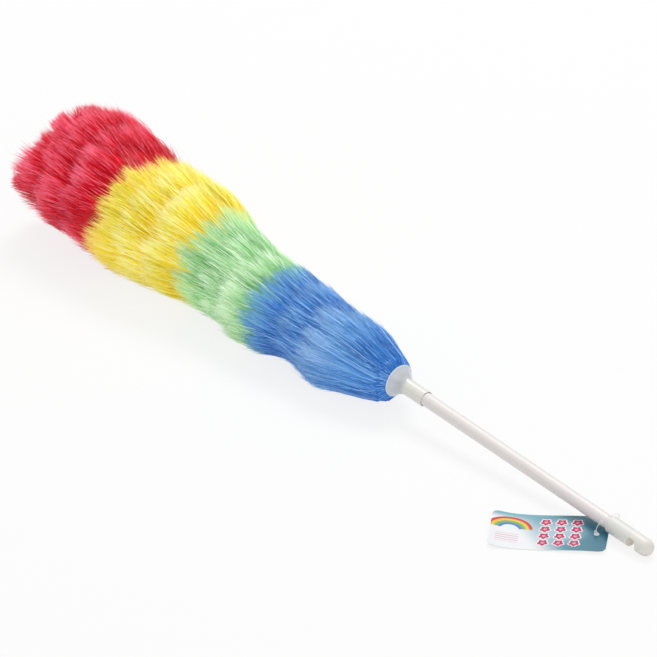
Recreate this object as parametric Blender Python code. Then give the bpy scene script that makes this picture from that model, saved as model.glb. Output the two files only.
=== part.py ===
"""Static duster: a head of plastic fibres in four colour bands on a hollow handle,
with a bell collar, a hooked end cap and a card tag on a plastic loop.

Metres, +Z up. The duster lies on the plane Z = 0 with its hook towards +X and
its head towards -X. Distances along the duster are measured from the collar's rim.
"""

import math

import bmesh
import bpy
from mathutils import Vector

# Clearance between pieces that seat on each other
FIT_GAP = 0.0003

# Handle tube
TUBE_DIAMETER = 0.0100
TUBE_WALL = 0.0012
HANDLE_REACH = 0.2174  # collar rim to the front edge of the end cap

# Bell collar
RIM_DIAMETER = 0.0264
FLARE_LENGTH = 0.0122
BELL_WALL = 0.0012
NECK_WALL = 0.0007
NECK_LENGTH = 0.0167
LEDGE_THICKNESS = 0.0014  # the inner step that the tube's end meets

# Hook end cap
CAP_WALL = 0.00105
CAP_EDGE = 0.0008
CAP_SOCKET = 0.0163
CAP_WEB = 0.0045  # solid plastic between the socket and the hook's eye
EYE_RADIUS = 0.0047
HOOK_SPINE = 0.0043
HOOK_NOSE = 0.0112
HOOK_TURN = math.radians(70)  # how far the hook's mouth is turned from level towards the ground
EYE_SIDES = 26
MOUTH_SIDES = 8  # how many of the eye's sides are left open

# Core rod and its front button
ROD_DIAMETER = 0.0070
ROD_PLUG = 0.0400  # how far the rod runs into the handle tube
BUTTON_WALL = 0.0016
BUTTON_SOCKET = 0.0050
BUTTON_DOME = 0.0030

# Root sleeve of each fibre ring, and the wire tied round its tail
SLEEVE_WALL = 0.0027
SLEEVE_LAND = 0.0010
BAND_LENGTH = 0.0024  # the strip of the sleeve that the strands grow from
TIE_WIRE = 0.0010
TIE_STEP = 0.0009  # how far the tail is set in from the sleeve

# Fibre head. Each colour band is named with its rings and where its last tips reach.
HEAD_START = 0.0570
BANDS = (
    ("blue", 3, 0.128),
    ("green", 3, 0.200),
    ("yellow", 3, 0.281),
    ("red", 3, 0.362),
)
HEAD_OUTLINE = (
    (0.057, 0.0300),
    (0.090, 0.0290),
    (0.118, 0.0335),
    (0.150, 0.0353),
    (0.172, 0.0352),
    (0.200, 0.0412),
    (0.225, 0.0450),
    (0.254, 0.0467),
    (0.281, 0.0488),
    (0.310, 0.0500),
    (0.324, 0.0498),
    (0.336, 0.0486),
    (0.345, 0.0468),
)
STRAND_REACH = 0.0850  # along the duster, from a strand's root to its tip
FRONT_ROOT = 0.3160  # root of the last ring, whose strands fan out over the front
FRONT_TIPS = ((0.356, 0.0430, 1), (0.365, 0.0300, 2), (0.369, 0.0140, 3))
STRAND_WIDTH = 0.0106
STRAND_THICKNESS = 0.0022
STRANDS_PER_RING = 26
CROWDING = 0.45  # half a strand's width over the distance to the next strand
LIFT_FIRST = 4.0  # how steeply the first ring leaves the collar
LIFT = 1.9
RAGGED = 0.06  # how much shorter the shortest strand of a ring is
STRAND_STATIONS = ((0.22, 0.88), (0.55, 1.00), (0.90, 0.85))  # share of length, fullness
REST_CUT = 0.0005  # depth to which the strands that touch the ground are flattened

# Card tag and its plastic loop
TAG_LENGTH = 0.0827
TAG_WIDTH = 0.0447
TAG_THICKNESS = 0.0004
TAG_CORNER = 0.0050
TAG_HOLE_RADIUS = 0.0020
TAG_HOLE_INSET = 0.0082
TAG_LIFT = 0.0018  # height of the card's underside at its hole
TAG_RAMP = 0.0450
TAG_CURL = 0.0030
TAG_CURL_LENGTH = 0.0220
TAG_ANGLE = math.radians(40.8)  # between the card's long side and the handle
TAG_HOLE_SIDE = 0.0088  # how far the hole is to the side of the handle
LOOP_WIRE = 0.0008
LOOP_SLACK = 0.0112  # how much wider the loop is than the tube
LOOP_CROWN = 0.0006  # how much the loop still rises beside the tube's top
LOOP_LEAN = 0.35  # along the handle, for each metre of height
LOOP_SQUARENESS = 2.8
GROUND_GAP = 0.0001
LOCK_GAP = 0.0010  # between the lock and the card
LOCK_RADIUS = 0.0012
LOCK_LENGTH = 0.0030

# Facets round the turned pieces
TUBE_SIDES = 32
ROD_SIDES = 20
TIE_SIDES = 5
TIE_STEPS = 14
LOOP_SIDES = 6
LOOP_STEPS = 36

# Sizes that follow from the ones above
TUBE_RADIUS = TUBE_DIAMETER / 2
ROD_RADIUS = ROD_DIAMETER / 2
RIM_RADIUS = RIM_DIAMETER / 2
NECK_RADIUS = TUBE_RADIUS + FIT_GAP + NECK_WALL
CAP_RADIUS = TUBE_RADIUS + FIT_GAP + CAP_WALL
SLEEVE_BORE = ROD_RADIUS + FIT_GAP
SLEEVE_RADIUS = SLEEVE_BORE + SLEEVE_WALL
TAIL_RADIUS = SLEEVE_RADIUS - TIE_STEP
SLEEVE_TAIL = FIT_GAP + TIE_WIRE + SLEEVE_LAND
LEDGE_FRONT = SLEEVE_TAIL + FIT_GAP
TUBE_START = LEDGE_FRONT + LEDGE_THICKNESS + FIT_GAP
TUBE_END = HANDLE_REACH + CAP_SOCKET - FIT_GAP
EYE_PLACE = HANDLE_REACH + CAP_SOCKET + CAP_WEB + EYE_RADIUS
CAP_END = EYE_PLACE + EYE_RADIUS + HOOK_NOSE
LOOP_WIDTH = TUBE_DIAMETER + LOOP_SLACK
STRAND_TURN = math.tau / STRANDS_PER_RING


def material(name, colour, roughness, metallic=0.0):
    """A plain Principled BSDF in the piece's own colour."""
    made = bpy.data.materials.new(name)
    made.use_nodes = True
    shader = made.node_tree.nodes["Principled BSDF"]
    shader.inputs["Base Color"].default_value = (*colour, 1.0)
    shader.inputs["Roughness"].default_value = roughness
    shader.inputs["Metallic"].default_value = metallic
    made.diffuse_color = (*colour, 1.0)
    return made


def piece(name, bm, finish, parent, smooth_under=math.radians(35)):
    """Turns a bmesh into a named object with a finish, shaded smooth, under a parent."""
    bmesh.ops.recalc_face_normals(bm, faces=bm.faces)
    mesh = bpy.data.meshes.new(name)
    bm.to_mesh(mesh)
    bm.free()
    mesh.shade_smooth()
    mesh.set_sharp_from_angle(angle=smooth_under)
    mesh.materials.append(finish)
    made = bpy.data.objects.new(name, mesh)
    bpy.context.scene.collection.objects.link(made)
    made.parent = parent
    return made


def empty(name, parent=None, location=(0, 0, 0), rotation=(0, 0, 0)):
    """An empty that carries other objects."""
    made = bpy.data.objects.new(name, None)
    bpy.context.scene.collection.objects.link(made)
    made.empty_display_size = 0.02
    made.parent = parent
    made.location = location
    made.rotation_euler = rotation
    return made


def turned(profile, sides):
    """Turns a closed outline of (place, radius) points round the duster's axis."""
    bm = bmesh.new()
    rings = []
    for place, radius in profile:
        if radius == 0:
            rings.append([bm.verts.new((place, 0, 0))] * sides)
            continue
        ring = []
        for side in range(sides):
            angle = math.tau * side / sides
            ring.append(bm.verts.new((place, radius * math.sin(angle), radius * math.cos(angle))))
        rings.append(ring)
    for here, there in zip(rings, rings[1:] + rings[:1]):
        for side in range(sides):
            beside = (side + 1) % sides
            corners = [here[side], here[beside], there[beside], there[side]]
            distinct = list(dict.fromkeys(corners))
            if len(distinct) > 2:
                bm.faces.new(distinct)
    return bm


def arc(centre, radius, start, end, steps):
    """Points of an arc in (place, radius) coordinates, angles in degrees."""
    points = []
    for step in range(steps + 1):
        angle = math.radians(start + (end - start) * step / steps)
        points.append((centre[0] + radius * math.cos(angle), centre[1] + radius * math.sin(angle)))
    return points


def handle_tube(parent, finish):
    bore = TUBE_RADIUS - TUBE_WALL
    profile = [
        (TUBE_START, bore),
        (TUBE_START, TUBE_RADIUS),
        (TUBE_END, TUBE_RADIUS),
        (TUBE_END, bore),
    ]
    return piece("handle_tube", turned(profile, TUBE_SIDES), finish, parent)


def flare_radius(place):
    """Outside radius of the bell at a place between its rim and its neck."""
    closed = max(0.0, 1.0 - place / FLARE_LENGTH)
    return NECK_RADIUS + (RIM_RADIUS - NECK_RADIUS) * closed**2


def bell_collar(parent, finish):
    """A trumpet with a rolled rim, an inner ledge for the tube's end and a neck over the tube."""
    neck_end = FLARE_LENGTH + NECK_LENGTH
    tube_bore = TUBE_RADIUS + FIT_GAP
    ledge_bore = TUBE_RADIUS - TUBE_WALL
    ledge_back = LEDGE_FRONT + LEDGE_THICKNESS
    lip = BELL_WALL / 2
    steps = 7
    outside = []
    for step in range(steps + 1):
        place = lip + (FLARE_LENGTH - lip) * step / steps
        outside.append((place, flare_radius(place)))
    rim = arc((lip, flare_radius(lip) - lip), lip, 180, 90, 3)
    inside = []
    for step in range(5):
        place = LEDGE_FRONT - (LEDGE_FRONT - lip) * step / 4
        inside.append((place, flare_radius(place) - BELL_WALL - lip * (1 - step / 4)))
    profile = [
        (ledge_back, ledge_bore),
        (ledge_back, tube_bore),
        (neck_end, tube_bore),
        (neck_end, NECK_RADIUS - NECK_WALL / 2),
        (neck_end - NECK_WALL / 2, NECK_RADIUS),
    ]
    profile += outside[::-1][:-1]
    profile += rim[::-1]
    profile += inside[::-1][1:]
    profile.append((LEDGE_FRONT, ledge_bore))
    return piece("bell_collar", turned(profile, TUBE_SIDES), finish, parent)


def keyhole_cutter(parent, finish):
    """A prism through the cap: the round eye and the narrower mouth open to one side."""
    depth = CAP_RADIUS + HOOK_NOSE
    centre = (EYE_PLACE, CAP_RADIUS - HOOK_SPINE - EYE_RADIUS)
    mouth = 180 * MOUTH_SIDES / EYE_SIDES
    eye = arc(centre, EYE_RADIUS, mouth - 90, 270 - mouth, EYE_SIDES - MOUTH_SIDES)
    outline = [(eye[0][0], -depth)] + eye + [(eye[-1][0], -depth)]
    bm = bmesh.new()
    face = bm.faces.new([bm.verts.new((x, y, -depth)) for x, y in outline])
    grown = bmesh.ops.extrude_face_region(bm, geom=[face])
    moved = [v for v in grown["geom"] if isinstance(v, bmesh.types.BMVert)]
    bmesh.ops.translate(bm, verts=moved, vec=(0, 0, 2 * depth))
    cutter = piece("eye_cutter", bm, finish, parent)
    cutter.rotation_euler = (HOOK_TURN, 0, 0)
    cutter.hide_render = True
    cutter.display_type = "WIRE"
    return cutter


def hook_cap(parent, finish):
    """The moulded end: a blind socket over the tube, a web, and a round nosed hook."""
    socket = TUBE_RADIUS + FIT_GAP
    bottom = HANDLE_REACH + CAP_SOCKET
    nose = arc((CAP_END - CAP_RADIUS, 0), CAP_RADIUS, 90, 0, 7)
    profile = [(bottom, 0), (bottom, socket), (HANDLE_REACH, socket)]
    profile += [(HANDLE_REACH, CAP_RADIUS - CAP_EDGE), (HANDLE_REACH + CAP_EDGE, CAP_RADIUS)]
    profile += nose[:-1]
    profile.append((CAP_END, 0))
    cap = piece("hook_cap", turned(profile, TUBE_SIDES), finish, parent)
    cut = cap.modifiers.new("eye", "BOOLEAN")
    cut.operation = "DIFFERENCE"
    cut.solver = "EXACT"
    cut.object = keyhole_cutter(parent, finish)
    return cap


def outline_radius(distance):
    """Radius that the fibre tips reach at a distance from the collar's rim."""
    before = HEAD_OUTLINE[0]
    for after in HEAD_OUTLINE[1:]:
        if distance < after[0]:
            share = max(0.0, (distance - before[0]) / (after[0] - before[0]))
            smooth = share * share * (3 - 2 * share)
            return before[1] + (after[1] - before[1]) * (smooth + share) / 2
        before = after
    return HEAD_OUTLINE[-1][1]


def ring_layout():
    """Each ring's name, root distance and tip distance, from the collar to the front."""
    rings = []
    band_start = HEAD_START
    for colour, count, band_end in BANDS:
        for number in range(1, count + 1):
            tip = band_start + (band_end - band_start) * number / count
            root = max(0.0, tip - STRAND_REACH) if rings else 0.0
            rings.append((colour, number, root, tip))
        band_start = band_end
    colour, number, _, tip = rings[-1]
    rings[-1] = (colour, number, FRONT_ROOT, tip)
    return rings


def strand_curve(root, tip, lift, tip_radius=None):
    """A strand's middle line: its (place, radius) for a share of its length.

    Without a tip radius the strand rises to the head's outline.
    """

    def at(share):
        distance = root + (tip - root) * share
        reach = tip_radius or outline_radius(distance)
        risen = 1 - max(0.0, 1 - share) ** lift
        return Vector((-distance, SLEEVE_RADIUS + (reach - SLEEVE_RADIUS) * risen))

    return at


def strand_angle(number):
    """Angle of a strand round the duster's axis. Two strands share the underside."""
    return -math.pi / 2 + STRAND_TURN * (number + 0.5)


def strand_length(number):
    """Share of the full length that a strand has. The two lowest ones are full."""
    from_bottom = min(number, STRANDS_PER_RING - 1 - number)
    return 1.0 - RAGGED * (from_bottom * 7 % 5) / 4


def strand_section(number, corners, curve, share, fullness):
    """Three corners, each given as (side, out), of a strand's section across its curve."""
    centre = curve(share)
    ahead = curve(share + 0.01) - curve(share - 0.01)
    outward = Vector((ahead.y, -ahead.x)).normalized()
    half = fullness * min(STRAND_WIDTH / 2, CROWDING * STRAND_TURN * centre.y)
    angle = strand_angle(number)
    radial = Vector((0, math.cos(angle), math.sin(angle)))
    around = Vector((0, -math.sin(angle), math.cos(angle)))
    section = []
    for side, out in corners:
        flat = centre + outward * (out * STRAND_THICKNESS * fullness)
        section.append(Vector((flat.x, 0, 0)) + radial * flat.y + around * (side * half))
    return section


def grow_strand(bm, root_corners, number, corners, curve):
    """Grows a tapering three sided strand out of a triangle of its root band."""
    length = strand_length(number)
    section = root_corners
    for share, fullness in STRAND_STATIONS:
        points = strand_section(number, corners, curve, share * length, fullness)
        following = [bm.verts.new(point) for point in points]
        for side in range(3):
            beside = (side + 1) % 3
            bm.faces.new((section[side], section[beside], following[beside], following[side]))
        section = following
    end = strand_section(number, ((0, 0),), curve, length, 0)[0]
    tip = bm.verts.new(end)
    for side in range(3):
        bm.faces.new((section[side], section[(side + 1) % 3], tip))


def sleeve_rings(root, bands):
    """The root sleeve's outline as (place, radius, half step), and where its bands begin."""
    place = -root
    tail = place + SLEEVE_TAIL
    rings = [(tail, SLEEVE_BORE, 0), (tail, TAIL_RADIUS, 0), (place, TAIL_RADIUS, 0)]
    band_starts = []
    half_step = 0
    for _ in range(bands):
        band_starts.append(len(rings))
        rings.append((place, SLEEVE_RADIUS, half_step))
        half_step = 1 - half_step
        place -= BAND_LENGTH
        rings.append((place, SLEEVE_RADIUS, half_step))
        place -= SLEEVE_LAND
    rings.append((rings[-1][0], SLEEVE_BORE, half_step))
    return rings, band_starts


def join_rings(bm, near, far):
    """Triangles between two rings half a step apart, as (corners, strand number, up)."""
    triangles = []
    for column in range(len(near)):
        following = (column + 1) % len(near)
        triangles.append(((near[column], near[following], far[column]), 2 * column, True))
        triangles.append(((far[column], near[following], far[following]), 2 * column + 1, False))
    return triangles


def fibre_ring(name, root, bands, finish, parent):
    """A root sleeve with bands of strands that grow out of its own faces.

    Each band holds its strands' curve and how many columns apart they stand.
    """
    columns = STRANDS_PER_RING // 2
    rings, band_starts = sleeve_rings(root, len(bands))
    bm = bmesh.new()
    loops = []
    for place, radius, half_step in rings:
        loop = []
        for column in range(columns):
            angle = -math.pi / 2 + 2 * STRAND_TURN * (column + half_step / 2 - 0.25)
            loop.append(bm.verts.new((place, radius * math.cos(angle), radius * math.sin(angle))))
        loops.append(loop)
    for index, loop in enumerate(loops):
        after = (index + 1) % len(loops)
        turn = rings[after][2] - rings[index][2]
        if turn == 0:
            for column in range(columns):
                beside = (column + 1) % columns
                bm.faces.new((loop[column], loop[beside], loops[after][beside], loops[after][column]))
            continue
        low, high = (loop, loops[after]) if turn > 0 else (loops[after], loop)
        band = band_starts.index(index) if index in band_starts else None
        for corners, number, up in join_rings(bm, low, high):
            if band is None or number % bands[band][1]:
                bm.faces.new(corners)
                continue
            # The corners at the collar's side of the band become the strand's outside
            two_outside = up == (turn > 0)
            pair_out, third_out = (1 / 3, -2 / 3) if two_outside else (-1 / 3, 2 / 3)
            if up:
                section = ((-1, pair_out), (1, pair_out), (0, third_out))
            else:
                section = ((-1, pair_out), (0, third_out), (1, pair_out))
            grow_strand(bm, corners, number, section, bands[band][0])
    return piece(name, bm, finish, parent, smooth_under=math.radians(20))


def flatten_on_ground(made):
    """Cuts the strands of a ring flat at Z = 0, where they lie on the ground."""
    bpy.context.view_layer.update()
    to_ring = made.matrix_world.inverted()
    bm = bmesh.new()
    bm.from_mesh(made.data)
    bmesh.ops.bisect_plane(
        bm,
        geom=bm.verts[:] + bm.edges[:] + bm.faces[:],
        plane_co=to_ring @ Vector((0, 0, 0)),
        plane_no=(to_ring.to_3x3() @ Vector((0, 0, -1))).normalized(),
        clear_outer=True,
    )
    open_edges = [edge for edge in bm.edges if edge.is_boundary]
    bmesh.ops.holes_fill(bm, edges=open_edges, sides=0)
    bm.to_mesh(made.data)
    bm.free()


def tie_wire(name, root, finish, parent):
    """A wire ring round the tail of a root sleeve, behind its shoulder."""
    place = -root + FIT_GAP + TIE_WIRE / 2
    radius = TAIL_RADIUS + FIT_GAP + TIE_WIRE / 2
    profile = arc((place, radius), TIE_WIRE / 2, 0, 360, TIE_SIDES)[:-1]
    return piece(name, turned(profile, TIE_STEPS), finish, parent)


def core_rod(parent, finish, front):
    back = TUBE_START + ROD_PLUG
    profile = [(front, 0), (front, ROD_RADIUS), (back, ROD_RADIUS), (back, 0)]
    return piece("core_rod", turned(profile[::-1], ROD_SIDES), finish, parent)


def tip_button(parent, finish, rod_front):
    """A domed button with a blind socket for the rod's end."""
    bore = ROD_RADIUS + FIT_GAP
    outside = bore + BUTTON_WALL
    socket_bottom = rod_front - FIT_GAP
    back = socket_bottom + BUTTON_SOCKET
    shoulder = socket_bottom - BUTTON_WALL
    profile = [(socket_bottom, 0), (socket_bottom, bore), (back, bore), (back, outside)]
    for step in range(5):
        angle = math.pi / 2 * step / 4
        profile.append((shoulder - BUTTON_DOME * math.sin(angle), outside * math.cos(angle)))
    profile[-1] = (shoulder - BUTTON_DOME, 0)
    return piece("tip_button", turned(profile, ROD_SIDES), finish, parent)


def rest_tilt(rings):
    """Tilt of the axis at which the cap's nose and the fullest ring both touch the ground."""
    nose = CAP_END - CAP_RADIUS
    tilts = []
    for _, _, _, tip in rings[:-1]:
        run = nose + tip
        radius = outline_radius(tip) * math.cos(STRAND_TURN / 2)
        span = math.hypot(run, radius)
        tilts.append(math.atan2(radius, run) - math.asin((CAP_RADIUS + REST_CUT) / span))
    return max(tilts)


def tag_height(distance):
    """Height of the card's underside at a distance from its hole, along the card."""
    share = min(1.0, max(0.0, (distance - 2 * TAG_HOLE_RADIUS) / TAG_RAMP))
    down = TAG_LIFT * (1 - share * share * (3 - 2 * share))
    curl_start = TAG_LENGTH - TAG_HOLE_INSET - TAG_CURL_LENGTH
    past = max(0.0, (distance - curl_start) / TAG_CURL_LENGTH)
    return down + TAG_CURL * past * past


def tag_card(parent, finish):
    """A rounded card with a punched hole, bent so that it lies from the loop to the ground."""
    near = -TAG_HOLE_INSET
    far = TAG_LENGTH - TAG_HOLE_INSET
    half = TAG_WIDTH / 2
    corners = (
        (far - TAG_CORNER, half - TAG_CORNER, 0),
        (near + TAG_CORNER, half - TAG_CORNER, 90),
        (near + TAG_CORNER, -half + TAG_CORNER, 180),
        (far - TAG_CORNER, -half + TAG_CORNER, 270),
    )
    outline = []
    for x, y, turn in corners:
        outline += arc((x, y), TAG_CORNER, turn, turn + 90, 4)
    hole = arc((0, 0), TAG_HOLE_RADIUS, 0, 360, 16)[:-1]
    bm = bmesh.new()
    for loop in (outline, hole):
        verts = [bm.verts.new((x, y, 0)) for x, y in loop]
        for here, there in zip(verts, verts[1:] + verts[:1]):
            bm.edges.new((here, there))
    bmesh.ops.triangle_fill(bm, edges=bm.edges[:], use_beauty=True, normal=(0, 0, 1))
    flat_end = 2 * TAG_HOLE_RADIUS
    cuts = 12
    for cut in range(cuts):
        place = flat_end + (far - flat_end) * cut / cuts
        bmesh.ops.bisect_plane(
            bm,
            geom=bm.verts[:] + bm.edges[:] + bm.faces[:],
            plane_co=(place, 0, 0),
            plane_no=(1, 0, 0),
        )
    bmesh.ops.recalc_face_normals(bm, faces=bm.faces)
    for vert in bm.verts:
        vert.co.z = tag_height(vert.co.x)
    grown = bmesh.ops.extrude_face_region(bm, geom=bm.faces[:])
    moved = [v for v in grown["geom"] if isinstance(v, bmesh.types.BMVert)]
    bmesh.ops.translate(bm, verts=moved, vec=(0, 0, TAG_THICKNESS))
    made = piece("tag_card", bm, finish, parent)
    made.rotation_euler = (0, 0, math.pi + TAG_ANGLE)
    return made


def loop_sections(top):
    """The loop's (y, z, radius) round its ring, seen along the handle from the card's hole."""
    bottom = GROUND_GAP + LOOP_WIRE / 2
    rise = (top - bottom) / 2
    middle = (top + bottom) / 2

    def half_width(z):
        return LOOP_WIDTH / 2 * (1 - abs((z - middle) / rise) ** LOOP_SQUARENESS) ** (1 / LOOP_SQUARENESS)

    centre = half_width(TAG_LIFT + TAG_THICKNESS / 2)
    lock_low = TAG_LIFT + TAG_THICKNESS + LOCK_GAP
    lock_high = lock_low + LOCK_LENGTH
    before_lock = []
    after_lock = []
    for step in range(LOOP_STEPS):
        angle = math.tau * step / LOOP_STEPS
        across = math.copysign(abs(math.cos(angle)) ** (2 / LOOP_SQUARENESS), math.cos(angle))
        up = math.copysign(abs(math.sin(angle)) ** (2 / LOOP_SQUARENESS), math.sin(angle))
        section = (centre + LOOP_WIDTH / 2 * across, middle + rise * up, LOOP_WIRE / 2)
        if section[0] > centre and section[1] <= middle:
            after_lock.append(section)
        elif section[1] > lock_high + LOOP_WIRE:
            before_lock.append(section)
        elif section[1] < lock_low - FIT_GAP:
            after_lock.append(section)
    if after_lock[0][1] == middle:
        before_lock.insert(0, after_lock.pop(0))
    lock = []
    for z, radius in (
        (lock_high, LOOP_WIRE / 2),
        (lock_high, LOCK_RADIUS),
        (lock_low, LOCK_RADIUS),
        (lock_low, LOOP_WIRE / 2),
    ):
        lock.append((centre - half_width(z), z, radius))
    return before_lock + lock + after_lock


def tag_loop(parent, finish, top):
    """A closed plastic filament that leans on the cap, with its lock's barrel over the card."""
    card = TAG_LIFT + TAG_THICKNESS / 2
    line = []
    for y, z, radius in loop_sections(top):
        line.append((Vector((LOOP_LEAN * (z - card), y, z)), radius))
    bm = bmesh.new()
    rings = []
    for index, (here, radius) in enumerate(line):
        along = line[(index + 1) % len(line)][0] - line[index - 1][0]
        side = along.cross(Vector((1, 0, 0))).normalized()
        other = side.cross(along).normalized()
        ring = []
        for corner in range(LOOP_SIDES):
            angle = math.tau * corner / LOOP_SIDES
            offset = side * math.cos(angle) + other * math.sin(angle)
            ring.append(bm.verts.new(here + offset * radius))
        rings.append(ring)
    for here, there in zip(rings, rings[1:] + rings[:1]):
        for corner in range(LOOP_SIDES):
            beside = (corner + 1) % LOOP_SIDES
            bm.faces.new((here[corner], here[beside], there[beside], there[corner]))
    return piece("tag_loop", bm, finish, parent)


def centre_on_ground(top_empty, pieces):
    """Moves the whole duster so that its box is centred over the origin."""
    bpy.context.view_layer.update()
    corners = [made.matrix_world @ Vector(c) for made in pieces for c in made.bound_box]
    low_x = min(c.x for c in corners)
    high_x = max(c.x for c in corners)
    low_y = min(c.y for c in corners)
    high_y = max(c.y for c in corners)
    top_empty.location = (-(low_x + high_x) / 2, -(low_y + high_y) / 2, 0)


def build():
    for old in list(bpy.data.objects):
        bpy.data.objects.remove(old)
    white = material("white_plastic", (0.86, 0.85, 0.84), 0.30)
    milky = material("milky_plastic", (0.84, 0.85, 0.84), 0.35)
    rod_white = material("rod_plastic", (0.80, 0.80, 0.78), 0.45)
    steel = material("tie_steel", (0.56, 0.56, 0.55), 0.35, 1.0)
    card = material("tag_print", (0.22, 0.45, 0.53), 0.45)
    nylon = material("loop_plastic", (0.85, 0.88, 0.90), 0.35)
    colours = {
        "blue": material("blue_fibre", (0.11, 0.27, 0.62), 0.40),
        "green": material("green_fibre", (0.46, 0.72, 0.42), 0.40),
        "yellow": material("yellow_fibre", (0.86, 0.76, 0.14), 0.40),
        "red": material("red_fibre", (0.66, 0.03, 0.08), 0.40),
    }
    rings = ring_layout()
    tilt = rest_tilt(rings)
    nose = CAP_END - CAP_RADIUS
    axis_height = CAP_RADIUS + nose * math.sin(tilt)
    duster = empty("duster")
    axis = empty("duster_axis", duster, (0, 0, axis_height), (0, tilt, 0))

    pieces = [
        handle_tube(axis, white),
        bell_collar(axis, milky),
        hook_cap(axis, milky),
    ]
    front_bands = len(FRONT_TIPS)
    sleeve_front = FRONT_ROOT + front_bands * BAND_LENGTH + (front_bands - 1) * SLEEVE_LAND
    rod_front = -(sleeve_front + BUTTON_SOCKET)
    pieces.append(core_rod(axis, rod_white, rod_front))
    pieces.append(tip_button(axis, milky, rod_front))
    bpy.context.view_layer.update()
    for colour, number, root, tip in rings:
        band_root = root + BAND_LENGTH / 2
        if root == FRONT_ROOT:
            bands = []
            for tip, radius, every in FRONT_TIPS:
                bands.append((strand_curve(band_root, tip, LIFT, radius), every))
                band_root += BAND_LENGTH + SLEEVE_LAND
        else:
            lift = LIFT if root else LIFT_FIRST
            bands = [(strand_curve(band_root, tip, lift), 1)]
        ring = fibre_ring(f"{colour}_tier_{number}", root, bands, colours[colour], axis)
        flatten_on_ground(ring)
        pieces.append(ring)
        pieces.append(tie_wire(f"{colour}_tie_{number}", root, steel, axis))

    top_along = HANDLE_REACH - FIT_GAP - LOOP_WIRE / 2
    top_out = TUBE_RADIUS + FIT_GAP + LOOP_WIRE / 2
    seat = axis.matrix_world @ Vector((top_along, 0, top_out))
    loop_top = seat.z + LOOP_CROWN
    hole_x = seat.x - LOOP_LEAN * (loop_top - TAG_LIFT - TAG_THICKNESS / 2)
    loop_place = empty("loop_place", duster, (hole_x, -TAG_HOLE_SIDE, 0))
    tag_place = empty("tag_swing_axis", loop_place)
    pieces.append(tag_loop(loop_place, nylon, loop_top))
    pieces.append(tag_card(tag_place, card))
    centre_on_ground(duster, pieces)


build()
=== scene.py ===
import math

import bpy
import numpy as np
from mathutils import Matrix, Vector


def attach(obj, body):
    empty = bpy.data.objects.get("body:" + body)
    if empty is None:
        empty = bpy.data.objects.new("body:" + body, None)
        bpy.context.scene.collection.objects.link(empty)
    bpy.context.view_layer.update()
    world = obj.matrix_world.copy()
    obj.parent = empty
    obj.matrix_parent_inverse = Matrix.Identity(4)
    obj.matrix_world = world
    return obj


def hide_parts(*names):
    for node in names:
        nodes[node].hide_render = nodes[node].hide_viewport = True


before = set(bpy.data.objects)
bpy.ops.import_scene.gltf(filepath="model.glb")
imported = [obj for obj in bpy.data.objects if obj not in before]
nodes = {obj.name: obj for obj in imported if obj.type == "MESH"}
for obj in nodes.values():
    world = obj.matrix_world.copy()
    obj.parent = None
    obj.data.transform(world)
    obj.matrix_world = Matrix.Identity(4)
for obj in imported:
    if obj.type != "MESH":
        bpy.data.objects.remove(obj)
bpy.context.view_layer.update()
print("stage: frame loaded")

# The duster's axis runs from the middle of the collar's rim towards the head's tip. Across it, low points
# to the head's lower edge in the photo and side towards the camera. Sizes are in metres.
axisTilt = 0.0788232
rim = np.array((0.056389, 0.012293, 0.026228))
toTip = np.array((-math.cos(axisTilt), 0.0, math.sin(axisTilt)))
low = np.array((-0.0555, -0.7091, -0.7029))
low /= np.linalg.norm(low)
side = np.cross(toTip, low)
fullTurn = 2 * math.pi


# A socket of a sheet's nodes, that takes part in sums.
class Value:
    def __init__(self, sheet, socket):
        self.sheet, self.socket = sheet, socket

    def maths(self, operation, *values):
        return self.sheet.node("ShaderNodeMath", {"operation": operation}, *values)

    def __add__(self, other):
        return self.maths("ADD", self, other)

    def __radd__(self, other):
        return self.maths("ADD", other, self)

    def __sub__(self, other):
        return self.maths("SUBTRACT", self, other)

    def __rsub__(self, other):
        return self.maths("SUBTRACT", other, self)

    def __mul__(self, other):
        return self.maths("MULTIPLY", self, other)

    def __rmul__(self, other):
        return self.maths("MULTIPLY", other, self)

    def __truediv__(self, other):
        return self.maths("DIVIDE", self, other)

    def __rtruediv__(self, other):
        return self.maths("DIVIDE", other, self)

    def absolute(self):
        return self.maths("ABSOLUTE", self)

    def fraction(self):
        return self.maths("FRACT", self)

    def sine(self):
        return self.maths("SINE", self)

    def power(self, other):
        return self.maths("POWER", self, other)

    def least(self, other):
        return self.maths("MINIMUM", self, other)

    def most(self, other):
        return self.maths("MAXIMUM", self, other)

    def step(self, start, end):
        return self.sheet.node(
            "ShaderNodeMapRange", {"interpolation_type": "SMOOTHSTEP"},
            Value=self, From_Min=start, From_Max=end)


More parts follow.
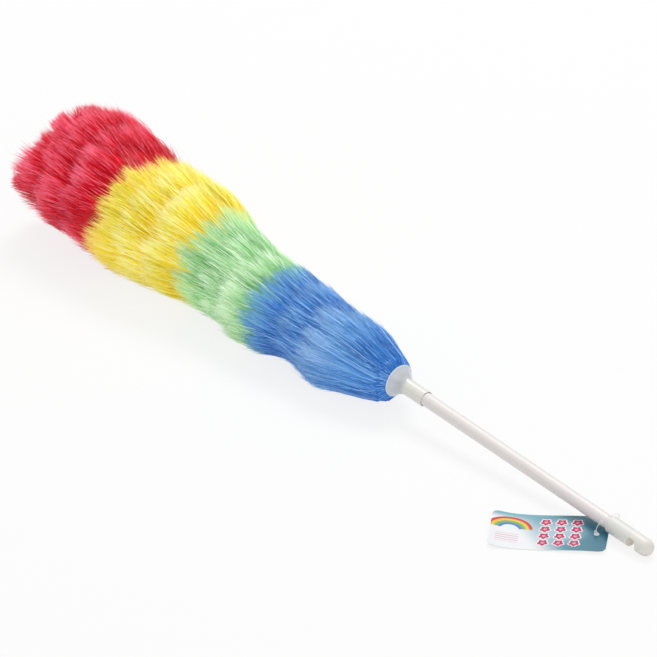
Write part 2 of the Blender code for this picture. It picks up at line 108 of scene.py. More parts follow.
# A material or world, and the ways to put nodes and values into it.
class Sheet:
    def __init__(self, name, kind="materials", **look):
        self.owner = getattr(bpy.data, kind).new(name)
        self.owner.use_nodes = True
        self.tree = self.owner.node_tree
        self.shader = next(n for n in self.tree.nodes if n.type in ("BSDF_PRINCIPLED", "BACKGROUND"))
        for key, value in look.items():
            self.feed(key.replace("_", " "), value)

    def put(self, socket, value):
        if isinstance(value, Value):
            self.tree.links.new(value.socket, socket)
        elif isinstance(value, (tuple, list)) and socket.type == "RGBA":
            socket.default_value = (*value, 1.0)[:4]
        else:
            socket.default_value = value

    def node(self, kind, settings, *values, out=0, **named):
        made = self.tree.nodes.new(kind)
        for key, value in settings.items():
            setattr(made, key, value)
        for socket, value in zip(made.inputs, values):
            self.put(socket, value)
        for key, value in named.items():
            self.put(made.inputs[key.replace("_", " ")], value)
        return Value(self, made.outputs[out])

    def mix(self, factor, first, second):
        # Of a Mix node's sockets, 0, 6 and 7 are the colour mix's, and its result is output 2.
        made = self.tree.nodes.new("ShaderNodeMix")
        made.data_type = "RGBA"
        for socket, value in zip((made.inputs[0], made.inputs[6], made.inputs[7]), (factor, first, second)):
            self.put(socket, value)
        return Value(self, made.outputs[2])

    def scaled(self, colour, factor):
        return self.node("ShaderNodeVectorMath", {"operation": "SCALE"}, Vector=colour, Scale=factor)

    def attribute(self, name):
        return self.node("ShaderNodeAttribute", {"attribute_name": name}, out="Fac")

    def place(self, output="Object"):
        return self.node("ShaderNodeTexCoord", {}, out=output)

    def noise(self, where, scale, detail):
        return self.node("ShaderNodeTexNoise", {}, out="Fac", Vector=where, Scale=scale, Detail=detail)

    def feed(self, name, value):
        self.put(self.shader.inputs[name], value)

    def bump(self, height, strength, distance):
        self.feed("Normal", self.node(
            "ShaderNodeBump", {}, out="Normal", Strength=strength, Distance=distance, Height=height))


def paint(colour):
    # From a picture's levels of 0 to 255 to linear light.
    return tuple(c / 12.92 if c <= 0.04045 else ((c + 0.055) / 1.055) ** 2.4 for c in (v / 255 for v in colour))


def give(obj, sheet):
    obj.data.materials.clear()
    obj.data.materials.append(sheet.owner)


# The head's outline: place along it, mean radius and how much further the low side reaches, in mm.
outline = np.array((
    (-12.2, 4.2, 0), (-10, 4.4, 0), (-8, 5.1, 0), (-6, 6.2, 0), (-4, 7.5, 0), (-2, 9.3, 0), (-0.5, 10.9, 0),
    (0.3, 11.6, 0), (1.2, 13.3, 0.4), (2.5, 15.2, 1.2), (5, 17.5, 2.3), (16, 21.4, 2.8), (26, 24.1, 2.2),
    (36, 26.6, 2.6), (46, 28.1, 4.1), (57, 29.3, 6.8), (67, 28.8, 5.1), (77, 28.4, 4.7), (88, 27.2, 2.6),
    (98, 28.2, 2.4), (108, 30, 4.2), (118, 32.2, 5.2), (129, 32.4, 7), (139, 33.1, 6.4), (149, 33.6, 6.5),
    (160, 32.3, 3.3), (170, 33.2, 2.7), (180, 34, 2.4), (190, 37.3, -0.4), (201, 39.8, -0.8), (211, 41.3, -0.9),
    (221, 43.5, -0.8), (232, 42.3, 1.3), (242, 44.2, 1.4), (252, 45, 2.8), (262, 47.3, 2.4), (273, 48.2, 1.5),
    (283, 47.2, 0.6), (293, 45.6, 0.5), (304, 46.8, -1.7), (314, 47.3, -2.2), (324, 47.4, -2.2), (334, 46.3, 0.3),
    (345, 44.5, 1.8), (355, 42, 2.6), (362, 37, 2.7), (367, 26, 1), (371, 2, 0))) * 0.001


def reach(place, turn):
    mean = np.interp(place, outline[:, 0], outline[:, 1])
    lean = np.interp(place, outline[:, 0], outline[:, 2])
    return mean + lean * np.cos(turn)


def softLeast(first, second, width):
    # The smaller of two values, rounded where they meet.
    least = np.minimum(first, second)
    return least - width * np.log1p(np.exp(-np.abs(first - second) / width))


# Each band's colours from root to tip, and its last ring's at the tips, where the next band shows through.
# The deep root colour is painted shade between the rings. The pale tips are partly the frayed ends' own paleness and
# partly painted highlight.
# One value sets how strongly the palest fibres stand out as painted highlight streaks, and flare sets by how many
# degrees the tips turn outwards.
fibreColours = {
    "blue": {"deep": (52, 122, 205), "mid": (106, 168, 226), "pale": (158, 198, 236), "last": (138, 200, 204),
             "paintedHighlight": 0.75, "flare": 7},
    "green": {"deep": (138, 204, 130), "mid": (194, 234, 184), "pale": (242, 255, 234), "last": (226, 240, 168),
              "paintedHighlight": 0.8, "flare": 10},
    "yellow": {"deep": (246, 220, 22), "mid": (246, 236, 80), "pale": (255, 253, 196), "last": (255, 230, 140),
               "paintedHighlight": 0.75, "flare": 13},
    "red": {"deep": (196, 0, 24), "mid": (228, 0, 38), "pale": (250, 128, 156), "last": (250, 128, 156),
            "paintedHighlight": 0.4, "flare": 14},
}


# Where along a fibre its colours change, and how much they vary from fibre to fibre and from clump to clump.
# The weak emission stands for the light that real fibres let through.
fibreLook = {
    "roughness": 0.34, "specular": 0.18, "emission": 0.18, "mid": (0.72, 0.90), "tip": (0.86, 1.02),
    "paintedHighlightFrom": (0.62, 0.82), "paintedHighlightTone": (0.55, 0.95), "shift": (0.035, 0.065), "shade": 0.94,
    "vary": (0.23, 0.13), "brightest": 1.05,
}


def fibreSheet(band, look, tint):
    sheet = Sheet(
        f"{band}Fibre", Roughness=fibreLook["roughness"], Specular_IOR_Level=fibreLook["specular"],
        Emission_Strength=fibreLook["emission"])
    along, tone, clump = (sheet.attribute(name) for name in ("along", "tone", "clump"))
    toneShift, clumpShift = fibreLook["shift"]
    toneShade, clumpShade = fibreLook["vary"]
    drawn = along + tone * toneShift + clump * clumpShift
    # Painted highlight streaks along the palest fibres.
    paintedHighlight = tone.step(*fibreLook["paintedHighlightTone"]) * drawn.step(*fibreLook["paintedHighlightFrom"]) * look["paintedHighlight"]
    # From the deep root colour, painted shade between the rings, to mid, then at the tips to pale, which is partly
    # painted highlight.
    colour = sheet.mix(drawn.step(*fibreLook["mid"]), paint(look["deep"]), paint(look["mid"]))
    colour = sheet.mix(paintedHighlight, colour, paint(look["pale"]))
    colour = sheet.mix(drawn.step(*fibreLook["tip"]), colour, paint(look[tint]))
    shade = (fibreLook["shade"] + tone * toneShade + clump * clumpShade).least(fibreLook["brightest"])
    colour = sheet.scaled(colour, shade)
    sheet.feed("Base Color", colour)
    sheet.feed("Emission Color", colour)
    return sheet


# The twelve rings of fibres: band, number in it, where the tips end, and the degrees at which the roots
# leave the rod.
tiers = [
    ("blue", 1, 0.0807, 60), ("blue", 2, 0.1043, 48), ("blue", 3, 0.1280, 40),
    ("green", 1, 0.1520, 36), ("green", 2, 0.1760, 38), ("green", 3, 0.1980, 42),
    ("yellow", 1, 0.2250, 46), ("yellow", 2, 0.2510, 46), ("yellow", 3, 0.2760, 46),
    ("red", 1, 0.3080, 54), ("red", 2, 0.3350, 46), ("red", 3, 0.3620, 46),
]
lastTier = len(tiers) - 1

# What all rings share. Stations are the shares of its length at which a fibre has a cross section,
# setBack is how far some clumps end behind the others, and strays are lifted off the ring.
fibre = {
    "clumps": 120, "perClump": 46, "clumpTurn": 2.399963, "length": 0.085, "width": 0.00046, "thick": 0.00010,
    "stations": (0.0, 0.35, 0.6, 0.78, 0.91), "setBack": 0.012, "spread": 0.0026, "sunkenClump": 0.075,
    "early": 0.12, "earliest": 0.026, "strays": 0.10, "earlyStrays": 0.7, "strayFlare": 22, "highest": 0.0036,
    "handle": 0.36, "above": 0.0006, "lowest": 0.0001, "seed": 4100,
}
# How the fibres and clumps differ: spans from least to most, or how far they usually are from the mean.
scatter = {
    "turn": 0.05, "clumpTip": 0.0015, "curl": 0.10, "wide": 1.9, "wideShare": 0.15, "level": 0.013,
    "tip": 0.0015, "tipBehind": 0.0028, "long": (0.001, 0.006), "longShare": 0.06, "root": (-0.002, 0.008),
    "rootRadius": (0.0042, 0.0062), "lift": 0.0008, "strayLift": (0.0006, 0.0032), "clumpFlare": 4, "flare": 6,
    "start": 4, "wave": (0.0002, 0.0005), "floorGap": (0.0005, 0.0024), "twist": 0.35,
    "clumpTone": 0.45, "patchTone": 0.28, "ownTone": 0.3,
}
# The first ring comes out of the collar's mouth and lies close behind it.
firstRing = {
    "perClump": 34, "stations": (0.0, 0.06, 0.14, 0.32, 0.58, 0.79, 0.92), "setBack": 0.046, "earliest": 0.012,
    "mouth": 0.0035, "sunken": 0.0012, "closeUntil": 0.012, "looseFrom": 0.057, "rootAlong": 0.74,
}
# The last ring's blunt end: its edge lies further out on the low side, and part of the clumps close it.
lastRing = {
    "setBack": 0.006, "edge": 0.3465, "edgeLow": 0.0180, "closing": 0.5, "closingRadius": 0.043,
    "closingRoot": 0.316, "closingTip": 0.362, "closingScatter": (-0.002, 0.006),
}
# The last yellow ring is shorter on some sides: turn from the low side in degrees, mm.
shortSides = np.array((
    (0, 3), (31, -5), (45, 5), (60, 8), (73, 8), (90, 0), (105, 8), (120, 12), (135, 15), (200, 15),
    (270, 8), (360, 3)))
# Under the loose fibres each ring has its dense undercoat, a closed shell of fine ridges. Deep, shallow,
# first and rolledIn are its depths under the outline, as shares of the radius. Blocks are the ridges' and
# tones' sizes, in sectors and rows.
undercoat = {
    "sectors": 420, "stations": 22, "hidden": 0.020, "short": 0.0075, "deep": 0.16, "shallow": 0.085,
    "shallowFrom": 0.8, "first": 0.10, "firstBegin": -0.004, "underShort": 0.012, "rolledIn": 0.05,
    "rollFrom": 0.85, "ridge": 0.00035, "ridgeFull": 0.02, "ragged": 0.0022, "thick": 0.0024,
    "floorGap": 0.0012, "along": (0.60, 0.86), "insideAlong": (0.8, 0.6, 0.5),
    "blocks": {"fine": (1, 7), "broad": (3, 9), "tone": (1, 8), "clump": (14, 6)},
}
# Outline of the last shell's blunt front: place and radius.
blunt = (
    (0.3290, 0.0430), (0.3345, 0.0395), (0.3390, 0.0335), (0.3425, 0.0250), (0.3450, 0.0140),
    (0.3460, 0.0020))
# The texture has a strip for the undercoat, and above it a cell for each fibre.
texture = {"strip": (0.998, 0.348), "stripEdge": 0.001, "cellsFrom": 0.36, "columns": 60, "cellEdge": 0.07}


def bezier(points, s):
    return (points[0] * (1 - s) ** 3 + 3 * points[1] * s * (1 - s) ** 2
            + 3 * points[2] * s * s * (1 - s) + points[3] * s ** 3)


def settle(where, gap):
    # What would reach through the floor lies on it instead.
    where[..., 2] = -softLeast(-where[..., 2], -gap, 0.0004)
    return where


def around(place, radius, angle):
    return (rim + place[..., None] * toTip
            + radius[..., None] * (np.cos(angle)[..., None] * low + np.sin(angle)[..., None] * side))


def shortened(index, turn):
    if tiers[index][:2] != ("yellow", 3):
        return 0 * turn
    return np.interp(turn % fullTurn, np.radians(shortSides[:, 0]), shortSides[:, 1] * 0.001)


def unit(vectors):
    return vectors / np.linalg.norm(vectors, axis=1)[:, None]


def bladeCorners(points, stations, twist):
    # Three corners at each station, flat side out, that narrow towards the tip.
    rings = []
    for i, station in enumerate(stations):
        run = unit(points[i + 1] - points[max(i - 1, 0)])
        outward = points[i] - rim
        outward = unit(outward - (outward @ toTip)[:, None] * toTip)
        flat = unit(np.cross(run, outward))
        up = np.cross(flat, run)
        roll = (twist * (0.4 + station))[:, None]
        flat, up = np.cos(roll) * flat + np.sin(roll) * up, np.cos(roll) * up - np.sin(roll) * flat
        taper = min(1.0, 1.5 - 0.85 * station ** 2)
        wide, high = fibre["width"] * 0.5 * taper, fibre["thick"] * taper
        rings += [points[i] + wide * flat, points[i] - wide * flat, points[i] + high * up]
    return np.stack(rings + [points[-1]], axis=1)


def bladeFaces(stations):
    # The faces of one fibre, and where their corners lie in its cell of the texture.
    faces, spots = [(0, 2, 1)], [(0.0, 0.1), (0.0, 0.9), (0.04, 0.5)]
    marks = [0.05 + 0.95 * s for s in (*stations, 1.0)]
    for i in range(len(stations)):
        here, ahead = 3 * i, 3 * i + 3
        for k in range(3):
            n = (k + 1) % 3
            spots += [(marks[i], k / 3), (marks[i], (k + 1) / 3)]
            if i + 1 < len(stations):
                faces.append((here + k, here + n, ahead + n, ahead + k))
                spots += [(marks[i + 1], (k + 1) / 3), (marks[i + 1], k / 3)]
            else:
                faces.append((here + k, here + n, ahead))
                spots.append((1.0, (k + 0.5) / 3))
    return faces, spots


def fibres(rng, index, tipPlace, startAngle, flare):
    first, front = index == 0, index == lastTier
    ring = {**fibre, **(firstRing if first else lastRing if front else {})}
    clumps, each, stations = ring["clumps"], ring["perClump"], ring["stations"]
    count = clumps * each

    def perFibre(values):
        return np.repeat(values, each)

    turn = perFibre(np.arange(clumps) * ring["clumpTurn"] + rng.normal(0, scatter["turn"], clumps))
    level = perFibre(1 - ring["sunkenClump"] * rng.random(clumps) ** 1.4)
    ends = np.full(count, tipPlace) - shortened(index, turn)
    if front:
        ends = ring["edge"] + ring["edgeLow"] * np.clip(np.cos(turn), 0, 1) ** 1.2
    tip = ends - perFibre(
        ring["setBack"] * rng.random(clumps) ** 1.3 + rng.normal(0, scatter["clumpTip"], clumps))
    curl = perFibre(rng.normal(0, scatter["curl"], clumps))
    clumpTone = perFibre(rng.uniform(-1, 1, clumps))
    across = rng.normal(0, 1, (count, 2))
    across = across * np.where(rng.random(count) < scatter["wideShare"], scatter["wide"], 1.0)[:, None]
    level = np.clip(level * (1 + rng.normal(0, scatter["level"], count)), 0.3, 1.03)
    tip = tip + rng.normal(0, scatter["tip"], count) - rng.exponential(scatter["tipBehind"], count)
    tip = tip + np.where(rng.random(count) < scatter["longShare"], rng.uniform(*scatter["long"], count), 0)
    # Some fibres end early, so that fuzz stands out all along the ring.
    early = rng.random(count) < ring["early"]
    tip = tip - np.where(early, rng.uniform(0.003, ring["earliest"], count), 0)
    root = max(tipPlace - ring["length"], 0) + rng.uniform(*scatter["root"], count)
    rootRadius = rng.uniform(*scatter["rootRadius"], count)
    stray = rng.random(count) < np.where(early, ring["earlyStrays"], ring["strays"])
    lift = rng.exponential(scatter["lift"], count)
    lift = np.minimum(lift + np.where(stray, rng.uniform(*scatter["strayLift"], count), 0), ring["highest"])
    near = np.ones(count)
    if first:
        # Close behind the collar the fibres lie flat, and their colour stays near the deep root colour, painted
        # shade.
        near = np.clip((tip - ring["closeUntil"]) / (ring["looseFrom"] - ring["closeUntil"]), 0.2, 1.0)
    lift = lift * near
    tipRadius = level * reach(tip, turn) + lift
    end = flare + perFibre(rng.normal(0, scatter["clumpFlare"], clumps))
    end = np.radians(end + rng.normal(0, scatter["flare"], count) + stray * ring["strayFlare"])
    start = np.radians(startAngle + rng.normal(0, scatter["start"], count))
    if front:
        closing = perFibre(rng.random(clumps) < ring["closing"])
        ease = np.sqrt(perFibre(rng.random(clumps)))
        inner = ring["closingRadius"] * ease + rng.normal(0, 0.001, count)
        tipRadius = np.where(closing, inner, tipRadius)
        crown = ends + (ring["closingTip"] - ends) * (1 - ease ** 2) - rng.exponential(0.0020, count)
        tip = np.where(closing, crown, tip)
        root = np.where(closing, ring["closingRoot"] + rng.uniform(*ring["closingScatter"], count), root)
        mean = np.arctan2(tipRadius - rootRadius, tip - root)
        start = np.where(closing, mean * 0.7, start)
        end = np.where(closing, mean, end)
    handle = ring["handle"] * np.hypot(tip - root, tipRadius - rootRadius)
    placeNodes = (root, root + handle * np.cos(start), tip - handle * np.cos(end), tip)
    radiusNodes = (rootRadius, rootRadius + handle * np.sin(start), tipRadius - handle * np.sin(end), tipRadius)
    phase = rng.uniform(0, fullTurn, (count, 2))
    wave = rng.uniform(*scatter["wave"], (count, 2))
    floorGap = rng.uniform(*scatter["floorGap"], count)
    sunk = rng.random(count)
    # Broad paler and deeper patches go round the ring.
    patch = np.sin(3 * turn + rng.uniform(0, 6.28)) + np.sin(5 * turn + rng.uniform(0, 6.28))

    def centre(s):
        ripple = wave[:, 1] * np.sin(6.0 * s + phase[:, 1]) * s
        if first:
            # The first ring follows the outline from the collar's mouth on.
            place = -ring["mouth"] + (tip + ring["mouth"]) * s
            radius = level * reach(place, turn) + ripple
            radius = radius - ring["sunken"] * (1 - s) * sunk + lift * s ** 5
            fan = s ** 0.8
        else:
            place = bezier(placeNodes, s)
            fan = 0.30 + 0.70 * s ** 1.5
            radius = bezier(radiusNodes, s) + ripple
            radius = radius + across[:, 1] * ring["spread"] * 0.35 * fan
            limit = level * reach(place, turn) + ring["above"] + lift * s ** 4
            radius = np.maximum(softLeast(radius, limit, ring["above"]), 0.0005)
        shift = across[:, 0] * ring["spread"] * fan + wave[:, 0] * np.sin(7.0 * s + phase[:, 0])
        angle = turn + curl * s * s + shift / np.maximum(radius, 0.006)
        return settle(around(place, radius, angle), floorGap)

    points = [centre(s) for s in (*stations, 1.0)]
    body = bladeCorners(points, stations, rng.normal(0, scatter["twist"], count))
    perPiece = body.shape[1]
    faces, spots = bladeFaces(stations)

    columns, edge, base = texture["columns"], texture["cellEdge"], texture["cellsFrom"]
    cell = np.arange(count)
    corner = np.stack((cell % columns, cell // columns), axis=1)
    uv = corner[:, None, :] + edge + (1 - 2 * edge) * np.array(spots)[None]
    uv = uv / (columns, math.ceil(count / columns))
    uv[..., 1] = base + (1 - base) * uv[..., 1]
    loops = np.concatenate(faces)[None] + perPiece * np.arange(count)[:, None]
    along = np.broadcast_to(np.append(np.repeat(stations, 3), 1.0), (count, perPiece))
    clumpTone = clumpTone * scatter["clumpTone"] + patch * scatter["patchTone"]
    if first:
        along = ring["rootAlong"] + (1 - ring["rootAlong"]) * along ** 1.5 * near[:, None]
    tone = rng.uniform(-1, 1, count)
    clumpTone = clumpTone + rng.uniform(-scatter["ownTone"], scatter["ownTone"], count)
    return {
        "points": body.reshape(-1, 3), "loops": loops.reshape(-1),
        "sizes": np.tile([len(f) for f in faces], count), "uv": uv.reshape(-1, 2), "along": along.reshape(-1),
        "tone": np.repeat(tone, perPiece), "clump": np.repeat(clumpTone, perPiece)}


def shell(rng, index, tipPlace):
    sectors, stations, thick = undercoat["sectors"], undercoat["stations"], undercoat["thick"]
    front = index == lastTier
    begin = tiers[index - 1][2] - undercoat["hidden"] if index else undercoat["firstBegin"]
    if index and tiers[index - 1][:2] == ("yellow", 3):
        begin -= undercoat["underShort"]
    finish = blunt[0][0] if front else tipPlace - undercoat["short"]
    angle = np.arange(sectors) * fullTurn / sectors
    soft = np.array([1.0, 2.0, 3.0, 2.0, 1.0]) / 9
    deep, shallow, rollFrom = undercoat["deep"], undercoat["shallow"], undercoat["rollFrom"]
    fromAlong, toAlong = undercoat["along"]

    def patchy(size, blocks):
        # Random values, alike in a block and softened round the ring.
        across, along = undercoat["blocks"][blocks]
        values = rng.uniform(-1, 1, (size // along + 2, sectors // across))
        values = np.repeat(np.repeat(values, along, axis=0), across, axis=1)[:size]
        return np.stack([np.convolve(np.concatenate((row[-2:], row, row[:2])), soft, "valid") for row in values])

    rows = []
    edge = rng.uniform(-1, 1, sectors) * undercoat["ragged"]
    for u in np.linspace(0, 1, stations):
        place = begin + (finish - begin) * u + (0 if front else (edge - shortened(index, angle)) * u ** 3)
        place = np.broadcast_to(place, angle.shape)
        depth = undercoat["first"]
        if index:
            depth = deep + (shallow - deep) * min(1, u / undercoat["shallowFrom"])
        if not front and u > rollFrom:
            depth += undercoat["rolledIn"] * ((u - rollFrom) / (1 - rollFrom)) ** 2
        rows.append((place, reach(place, angle) * (1 - depth)))
    if front:
        rows += [(np.full(sectors, place), np.full(sectors, radius)) for place, radius in blunt[1:]]
    outer = len(rows)
    ridges = patchy(outer, "fine") * 0.7 + patchy(outer, "broad") * 0.6
    fade = np.minimum(1, np.array([radius.mean() for _, radius in rows]) / undercoat["ridgeFull"])
    rows = [(place, radius + undercoat["ridge"] * ridges[i] * fade[i]) for i, (place, radius) in enumerate(rows)]

    # Three more rows close the shell on its inside.
    place, radius = rows[-1]
    inside = [(place - 0.003, radius) if front else (place - 0.002, radius - thick)]
    place, radius = rows[stations // 2]
    inside.append((place, radius - thick - 0.001))
    place, radius = rows[0]
    inside.append((place, radius - thick))
    rows += inside
    points = np.stack([settle(around(place, radius, angle), undercoat["floorGap"]) for place, radius in rows])
    count = len(rows)
    along = fromAlong + (toAlong - fromAlong) * np.minimum(1, np.arange(outer) / (stations - 1))
    along = np.concatenate((along, undercoat["insideAlong"]))
    tone = np.concatenate((patchy(outer, "tone"), np.zeros((3, sectors))))
    clump = np.concatenate((patchy(outer, "clump"), np.zeros((3, sectors))))

    here = np.arange(sectors)
    beside = (here + 1) % sectors
    loops, uv = [], []
    for r in range(count):
        n = (r + 1) % count
        quad = (r * sectors + here, r * sectors + beside, n * sectors + beside, n * sectors + here)
        loops.append(np.stack(quad, axis=1).reshape(-1))
        spots = [np.stack((here + i, np.full(sectors, r + j)), 1) for i, j in ((0, 0), (1, 0), (1, 1), (0, 1))]
        spots = np.stack(spots, axis=1) / (sectors, count) * texture["strip"] + texture["stripEdge"]
        uv.append(spots.reshape(-1, 2))
    loops = np.concatenate(loops)
    return {
        "points": points.reshape(-1, 3), "loops": loops, "sizes": np.full(len(loops) // 4, 4),
        "uv": np.concatenate(uv), "along": np.repeat(along, sectors), "tone": tone.reshape(-1),
        "clump": clump.reshape(-1)}


def growTier(index, band, number, tipPlace, startAngle, flare):
    rng = np.random.default_rng(fibre["seed"] + index)
    parts = [shell(rng, index, tipPlace), fibres(rng, index, tipPlace, startAngle, flare)]
    parts[1]["loops"] = parts[1]["loops"] + len(parts[0]["points"])
    whole = {key: np.concatenate([part[key] for part in parts]) for key in parts[0]}
    points, loops, sizes = whole["points"], whole["loops"], whole["sizes"]
    points[:, 2] = np.maximum(points[:, 2], fibre["lowest"])
    mesh = bpy.data.meshes.new(f"{band}Fibres{number}")
    mesh.vertices.add(len(points))
    mesh.vertices.foreach_set("co", points.astype(np.float32).reshape(-1))
    mesh.loops.add(len(loops))
    mesh.loops.foreach_set("vertex_index", loops.astype(np.int32))
    mesh.polygons.add(len(sizes))
    mesh.polygons.foreach_set("loop_start", (np.cumsum(sizes) - sizes).astype(np.int32))
    # The shell is smooth, the fibres are flat.
    mesh.polygons.foreach_set("use_smooth", np.arange(len(sizes)) < len(parts[0]["sizes"]))
    mesh.update(calc_edges=True)
    layer = mesh.uv_layers.new(name="OFBake")
    layer.uv.foreach_set("vector", whole["uv"].astype(np.float32).reshape(-1))
    for name in ("along", "tone", "clump"):
        mesh.attributes.new(name, "FLOAT", "POINT").data.foreach_set("value", whole[name].astype(np.float32))
    obj = bpy.data.objects.new(f"{band}_fibres_{number}", mesh)
    bpy.context.scene.collection.objects.link(obj)
    return obj


sheets = {
    (band, tint): fibreSheet(band, look, tint)
    for band, look in fibreColours.items() for tint in ("pale", "last")}
for index, (band, number, tipPlace, startAngle) in enumerate(tiers):
    obj = growTier(index, band, number, tipPlace, startAngle, fibreColours[band]["flare"])
    give(obj, sheets[band, "last" if number == 3 else "pale"])
    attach(obj, "duster")
    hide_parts(f"{band}_tier_{number}")
print("stage: fibre head")

# Colours: places along the handle from the collar's rim, in mm, between which the colour changes
# to the next one. Mottle is the cloudiness, grain the depth of the fine bumps, stretch their scale by axis,
# and voxel the size at which a moulded piece gets soft edges.
plastics = {
    "tubePlastic": {
        "nodes": ("handle_tube",), "voxel": 0, "colours": ((0, 0, (234, 229, 227)),), "rough": 0.38,
        "mottle": 0.025, "grain": 0.00003, "stretch": (0.05, 1.0, 1.0),
        "look": {"Coat_Weight": 0.12, "Coat_Roughness": 0.3}},
    # The collar's bright rim lip is a painted highlight. Its greyer flare is partly the milky plastic's own
    # blue-grey and partly painted shade.
    "collarPlastic": {
        "nodes": ("bell_collar",), "voxel": 0.00025, "colours": (
            (0, 0, (232, 238, 248)), (0.5, 1.3, (206, 212, 221)), (2.5, 6.5, (196, 200, 204)),
            (8.0, 13.0, (234, 232, 224))),
        "rough": 0.30, "mottle": 0.03, "grain": 0.00004, "stretch": (1.0, 1.0, 1.0),
        "look": {"Coat_Weight": 0.5, "Coat_Roughness": 0.22}},
    "capPlastic": {
        "nodes": ("hook_cap",), "voxel": 0.0003, "colours": (
            (0, 0, (230, 230, 226)), (238.0, 247.0, (235, 231, 224))),
        "rough": 0.42, "mottle": 0.04, "grain": 0.00005, "stretch": (1.0, 1.0, 1.0),
        # Round the hook's eye a tan patch is painted. It is the shade seen there through the milky plastic, painted
        # pale enough to lighten the eye's own shadow.
        "paintedEyeShade": {"centre": (0.298535, 0.012293, 0.007102), "inner": 0.0034, "outer": 0.0062,
                  "colour": (250, 238, 202)},
        "look": {"Coat_Weight": 0.1, "Coat_Roughness": 0.3}},
    "rodPlastic": {
        "nodes": ("tip_button", "core_rod"), "voxel": 0, "colours": ((0, 0, (214, 216, 214)),), "rough": 0.5,
        "mottle": 0.05, "grain": 0.00004, "stretch": (0.2, 1.0, 1.0), "look": {}},
}


def alongHandle(sheet):
    run = sheet.node("ShaderNodeVectorMath", {"operation": "DOT_PRODUCT"}, sheet.place(), tuple(-toTip), out="Value")
    return run * 1000.0 - float(-rim @ toTip) * 1000.0


def plasticSheet(name, kind):
    sheet = Sheet(name, **kind["look"])
    where = sheet.node(
        "ShaderNodeMapping", {"vector_type": "POINT"}, out="Vector", Vector=sheet.place(),
        Rotation=(0.0, -axisTilt, 0.0), Scale=kind["stretch"])
    cloud = sheet.noise(where, 60.0, 3.0)
    colour = paint(kind["colours"][0][2])
    for start, end, following in kind["colours"][1:]:
        colour = sheet.mix(alongHandle(sheet).step(start, end), colour, paint(following))
    # Painted shade round the hook's eye, fading out with distance from the eye's centre.
    if "paintedEyeShade" in kind:
        paintedEyeShade = kind["paintedEyeShade"]
        away = sheet.node(
            "ShaderNodeVectorMath", {"operation": "DISTANCE"}, sheet.place(), paintedEyeShade["centre"], out="Value")
        colour = sheet.mix(away.step(paintedEyeShade["outer"], paintedEyeShade["inner"]), colour, paint(paintedEyeShade["colour"]))
    sheet.feed("Base Color", sheet.scaled(colour, 1.0 - kind["mottle"] * cloud.step(0.35, 0.65)))
    sheet.feed("Roughness", kind["rough"] + (cloud - 0.5) * 0.12)
    sheet.bump(sheet.noise(where, 900.0, 2.0), 0.25, kind["grain"])
    return sheet


for name, kind in plastics.items():
    sheet = plasticSheet(name, kind)
    for node in kind["nodes"]:
        give(nodes[node], sheet)
        if kind["voxel"]:
            remesh = nodes[node].modifiers.new("soft edges", "REMESH")
            remesh.mode, remesh.voxel_size, remesh.use_smooth_shade = "VOXEL", kind["voxel"], True
            ease = nodes[node].modifiers.new("ease", "SMOOTH")
            ease.factor, ease.iterations = 0.5, 4

steel = Sheet("tieSteel", Metallic=1.0, Base_Color=paint((196, 196, 192)))
steel.feed("Roughness", 0.3 + 0.2 * steel.noise(steel.place(), 400.0, 3.0))
for name, obj in nodes.items():
    if "_tie_" in name:
        give(obj, steel)
print("stage: plastics")

# The card's print, in mm from its hole: x along the card, y across it.
tag = {"hole": (0.268158, 0.003493, 0.0), "turn": math.radians(220.8), "back": (226, 228, 228)}
field = {"near": (52, 118, 140), "far": (118, 176, 190), "corner": (240, 241, 244), "glow": (190, 214, 228)}
flowers = {
    "left": 9.0, "half": 17.5, "columns": 3, "column": 11.0, "row": 8.75, "wavy": 0.55,
    "rings": ((4.35, 4.1, (248, 240, 246)), (3.5, 3.25, (186, 14, 82)), (1.2, 1.0, (246, 170, 198)))}
arcs = {
    "x": 61.0, "y": -1.0, "under": -3.0,
    "rings": ((15.0, (214, 44, 38)), (12.6, (240, 196, 48)), (10.2, (108, 184, 84)), (7.8, (74, 118, 196)))}
strokes = {"x": 62.0, "y": 9.1, "halfLong": 8.0, "halfHigh": 5.2, "pitch": 2.6, "colour": (216, 138, 164)}


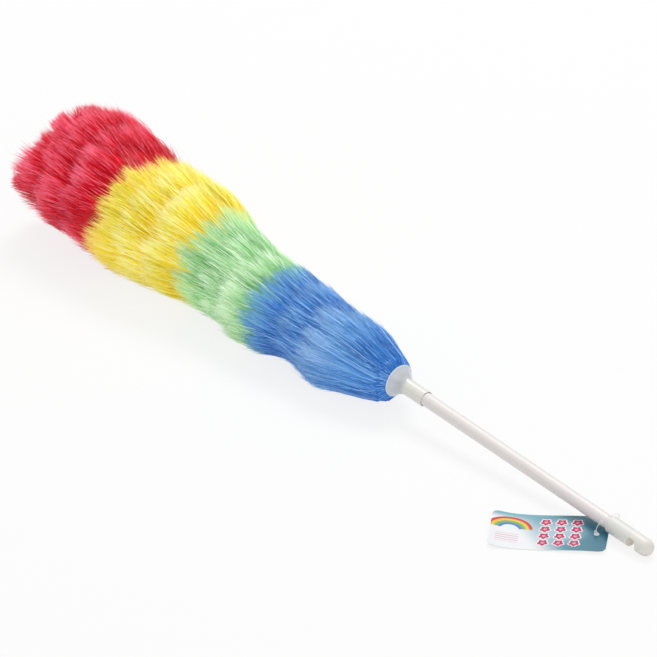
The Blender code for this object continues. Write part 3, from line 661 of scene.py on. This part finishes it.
def tagSheet():
    sheet = Sheet("tagPrint", Roughness=0.34, Coat_Weight=0.5, Coat_Roughness=0.12)
    spot = sheet.node(
        "ShaderNodeMapping", {"vector_type": "TEXTURE"}, out="Vector", Vector=sheet.place(),
        Location=tag["hole"], Rotation=(0.0, 0.0, tag["turn"]))
    x, y = (sheet.node("ShaderNodeSeparateXYZ", {}, spot, out=axis) * 1000.0 for axis in ("X", "Y"))
    colour = sheet.mix(x.step(-8.0, 62.0), paint(field["near"]), paint(field["far"]))
    colour = sheet.mix((x + y * 0.6).step(30.0, 58.0) * y.step(-21.5, -13.0), colour, paint(field["corner"]))
    glow = 0.7 * ((x - 27.0) * (x - 27.0) * 0.6 + (y + 1.0) * (y + 1.0)).power(0.5).step(19.0, 5.0)
    colour = sheet.mix(glow, colour, paint(field["glow"]))

    # Columns of five petalled flowers with white rims.
    wide, half = 0.5 * flowers["columns"] * flowers["column"], flowers["half"]
    across = (((x - flowers["left"]) / flowers["column"]).fraction() - 0.5) * flowers["column"]
    down = (((y + half) / flowers["row"]).fraction() - 0.5) * flowers["row"]
    angle = sheet.node("ShaderNodeMath", {"operation": "ARCTAN2"}, down, across)
    petal = (across * across + down * down).power(0.5) - flowers["wavy"] * (angle * 5.0).sine()
    inside = (x - (flowers["left"] + wide)).absolute().step(wide + 0.1, wide - 0.1)
    inside = inside * y.absolute().step(half + 0.1, half - 0.1)
    for outer, inner, ink in flowers["rings"]:
        colour = sheet.mix(inside * petal.step(outer, inner), colour, paint(ink))

    # Arcs in the head's colours at the far end, and pale strokes under them.
    right, over = x - arcs["x"], y - arcs["y"]
    ringed = (right * right + over * over).power(0.5)
    upper = (y - arcs["under"]).step(0.6, -0.6)
    for radius, ink in arcs["rings"]:
        colour = sheet.mix(upper * (ringed - radius).absolute().step(1.35, 1.05), colour, paint(ink))
    long, high = strokes["halfLong"], strokes["halfHigh"]
    bars = ((y / strokes["pitch"]).fraction() - 0.5).absolute().step(0.24, 0.18)
    bars = bars * (x - strokes["x"]).absolute().step(long + 0.2, long - 0.2)
    bars = bars * (y - strokes["y"]).absolute().step(high + 0.1, high - 0.1)
    colour = sheet.mix(0.55 * bars, colour, paint(strokes["colour"]))

    # Bare card on the rim and the underside.
    facing = sheet.node("ShaderNodeSeparateXYZ", {}, sheet.place("Normal"), out="Z")
    colour = sheet.mix(facing.step(0.2, 0.5), paint(tag["back"]), colour)
    sheet.feed("Base Color", colour)
    sheet.bump(sheet.noise(spot, 90.0, 2.0), 0.15, 0.0002)
    return sheet


give(nodes["tag_card"], tagSheet())
give(nodes["tag_loop"], Sheet("loopNylon", Base_Color=paint((240, 243, 244)), Roughness=0.2, Alpha=0.42))
print("stage: tag")

# Studio: a pale floor that looks nearly white to the camera and still takes the shadow.
studio = {
    "floorHalf": 14.0, "floorDrop": 0.0002, "floorWhite": 0.82, "worldLight": 0.56, "worldSeen": 1.0,
    "aim": (0.0, 0.0, 0.03), "lamps": (
        {"name": "key", "place": (-0.7, 0.9, 2.2), "size": 1.1, "power": 31.0},
        {"name": "fill", "place": (1.7, -0.9, 1.4), "size": 1.6, "power": 10.0})}
half = studio["floorHalf"]
floorMesh = bpy.data.meshes.new("floor")
floorMesh.from_pydata([(-half, -half, 0), (half, -half, 0), (half, half, 0), (-half, half, 0)], [], [(0, 1, 2, 3)])
floor = bpy.data.objects.new("floor", floorMesh)
bpy.context.scene.collection.objects.link(floor)
floor.location.z = -studio["floorDrop"]
floorSheet = Sheet("floorWhite", Base_Color=(0.86, 0.86, 0.86), Roughness=0.9, Specular_IOR_Level=0.1)
direct, mirrored, through = (
    floorSheet.node("ShaderNodeLightPath", {}, out=ray)
    for ray in ("Is Camera Ray", "Is Glossy Ray", "Is Transmission Ray"))
seen = direct.most(mirrored).most(through)
white = floorSheet.node("ShaderNodeEmission", {}, (1.0, 1.0, 1.0), 1.0)
lit = Value(floorSheet, floorSheet.shader.outputs[0])
surface = next(n for n in floorSheet.tree.nodes if n.type == "OUTPUT_MATERIAL").inputs["Surface"]
floorSheet.put(surface, floorSheet.node("ShaderNodeMixShader", {}, seen * studio["floorWhite"], lit, white))
give(floor, floorSheet)

scene = bpy.context.scene
sky = Sheet("studio", kind="worlds", Color=(1.0, 1.0, 1.0))
direct = sky.node("ShaderNodeLightPath", {}, out="Is Camera Ray")
sky.feed("Strength", sky.node(
    "ShaderNodeMapRange", {}, Value=direct, To_Min=studio["worldLight"], To_Max=studio["worldSeen"]))
scene.world = sky.owner

for lamp in studio["lamps"]:
    light = bpy.data.lights.new(lamp["name"], "AREA")
    light.shape, light.size, light.energy = "SQUARE", lamp["size"], lamp["power"]
    holder = bpy.data.objects.new(lamp["name"], light)
    holder.location = lamp["place"]
    holder.rotation_euler = (Vector(studio["aim"]) - holder.location).to_track_quat("-Z", "Y").to_euler()
    scene.collection.objects.link(holder)

# The camera's angles, what it looks at, how far it is from there and the width that it takes in there.
view = {
    "azimuth": math.radians(47.2157), "elevation": math.radians(32.21), "distance": 18.4785,
    "target": (0.0092071, -0.0103004, 0.0568247), "width": 0.4587766}
sensor = 36.0
camera = bpy.data.cameras.new("camera")
camera.sensor_width = sensor
camera.lens = sensor * view["distance"] / view["width"]
camera.clip_start, camera.clip_end = 0.1, 100.0
azimuth, elevation = view["azimuth"], view["elevation"]
backwards = Vector((
    math.sin(azimuth) * math.cos(elevation), -math.cos(azimuth) * math.cos(elevation), math.sin(elevation)))
cameraHolder = bpy.data.objects.new("camera", camera)
cameraHolder.location = Vector(view["target"]) + backwards * view["distance"]
cameraHolder.rotation_euler = backwards.to_track_quat("Z", "Y").to_euler()
scene.collection.objects.link(cameraHolder)
scene.camera = cameraHolder
scene.view_settings.view_transform = "Standard"
print("stage: studio")
